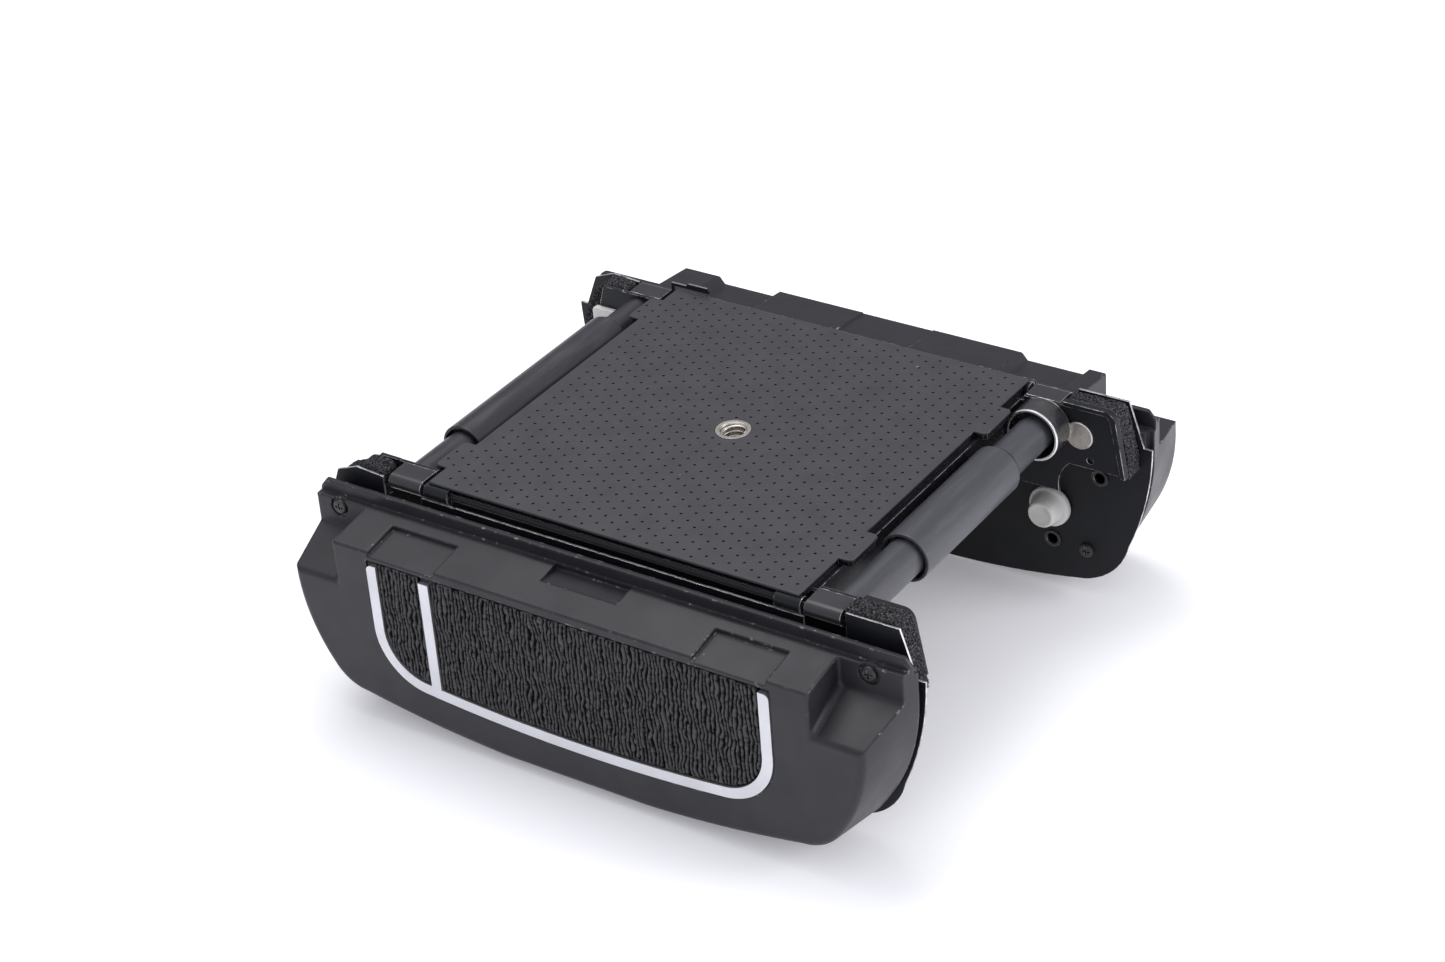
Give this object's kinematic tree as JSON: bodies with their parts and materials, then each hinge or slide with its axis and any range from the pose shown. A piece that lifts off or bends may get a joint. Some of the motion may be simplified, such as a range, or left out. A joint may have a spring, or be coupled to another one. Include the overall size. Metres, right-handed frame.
{
  "type": "folding camera",
  "caption": "Body of a folding camera lying base up: dimpled base with a tripod socket between two hinged leather-fronted housings, with two rollers.",
  "frame": {"origin": "centre of the tripod socket's mouth, on the outer face of the bed", "axes": "+Z points out of the tripod socket, +X runs along the two end housings, +Y from the front housing to the rear housing"},
  "size_m": [0.1736, 0.1553, 0.0627],
  "materials": {
    "dimpled_vinyl": "satin charcoal sheet with a hexagonal pattern of small dimples",
    "black_paint": "satin black paint on sheet metal, rubbed bright along bare edges",
    "black_lacquer": "smoother black lacquer with worn edges",
    "black_casing": "fine-textured satin black paint on a die casting",
    "black_anodised": "black anodised turned aluminium",
    "polished_aluminium": "turned aluminium with polished rims",
    "silver_trim": "matte silver anodised strip",
    "grained_leather": "black grained leather with upright wrinkles",
    "black_foam": "charcoal open-cell foam",
    "white_nylon": "off-white nylon",
    "nickel": "nickel plate, slightly warm",
    "polished_steel": "bright steel",
    "blackened_steel": "blackened steel",
    "bronze": "sintered bronze"
  },
  "bodies": {
    "chassis": {"bed_covering": "dimpled_vinyl", "bed_plate": "black_paint", "under_frame": "black_paint", "bed_screws": "blackened_steel", "bed_tab": "polished_steel", "tripod_socket": "nickel", "socket_nut": "nickel", "shaft_cup": "polished_aluminium", "front_wall": "black_paint", "rear_wall": "black_paint", "front_wall_disc": "nickel", "rear_wall_disc": "nickel", "front_wall_shoe": "white_nylon", "rear_wall_shoe": "white_nylon", "front_hinge_straps": "black_lacquer", "rear_hinge_straps": "black_lacquer", "front_hinge_pin": "polished_steel", "rear_hinge_pin": "polished_steel", "right_shaft": "black_anodised", "left_shaft": "black_anodised", "right_snap_ring": "blackened_steel", "left_snap_ring": "blackened_steel"},
    "front_housing": {"front_casing": "black_casing", "front_cover_plate": "black_paint", "front_cover_eyelets": "blackened_steel", "front_trim": "silver_trim", "front_leather_main": "grained_leather", "front_leather_side": "grained_leather", "front_foam_seals": "black_foam", "front_casing_screws": "blackened_steel", "front_cover_screws": "blackened_steel", "front_hinge_lugs": "black_paint"},
    "rear_housing": {"rear_casing": "black_casing", "rear_cover_plate": "black_paint", "rear_cover_eyelets": "blackened_steel", "rear_trim": "silver_trim", "rear_leather_main": "grained_leather", "rear_leather_side": "grained_leather", "rear_foam_seals": "black_foam", "rear_casing_screws": "blackened_steel", "rear_cover_screws": "blackened_steel", "rear_hinge_lugs": "black_paint", "hub_bush": "bronze"},
    "right_roller": {"right_sleeve": "black_anodised", "right_bushes": "bronze"},
    "left_roller": {"left_sleeve": "black_anodised", "left_bushes": "bronze"},
    "drive_hub": {"drive_hub": "white_nylon", "hub_clip": "blackened_steel"}
  },
  "joints": [
    {"name": "front_fold", "type": "hinge", "parent": "chassis", "child": "front_housing", "pos_m": [0, -0.0536, -0.003], "axis": [1, 0, 0], "range_deg": [-90, 0]},
    {"name": "rear_fold", "type": "hinge", "parent": "chassis", "child": "rear_housing", "pos_m": [0, 0.0536, -0.003], "axis": [1, 0, 0], "range_deg": [0, 90]},
    {"name": "right_roller_spin", "type": "hinge", "parent": "chassis", "child": "right_roller", "pos_m": [0.0616, 0, -0.0065], "axis": [0, 1, 0], "continuous": true},
    {"name": "left_roller_spin", "type": "hinge", "parent": "chassis", "child": "left_roller", "pos_m": [-0.0616, 0, -0.0065], "axis": [0, 1, 0], "continuous": true},
    {"name": "hub_spin", "type": "hinge", "parent": "rear_housing", "child": "drive_hub", "pos_m": [0.0585, 0.0552, -0.0359], "axis": [0, 1, 0], "continuous": true}
  ]
}
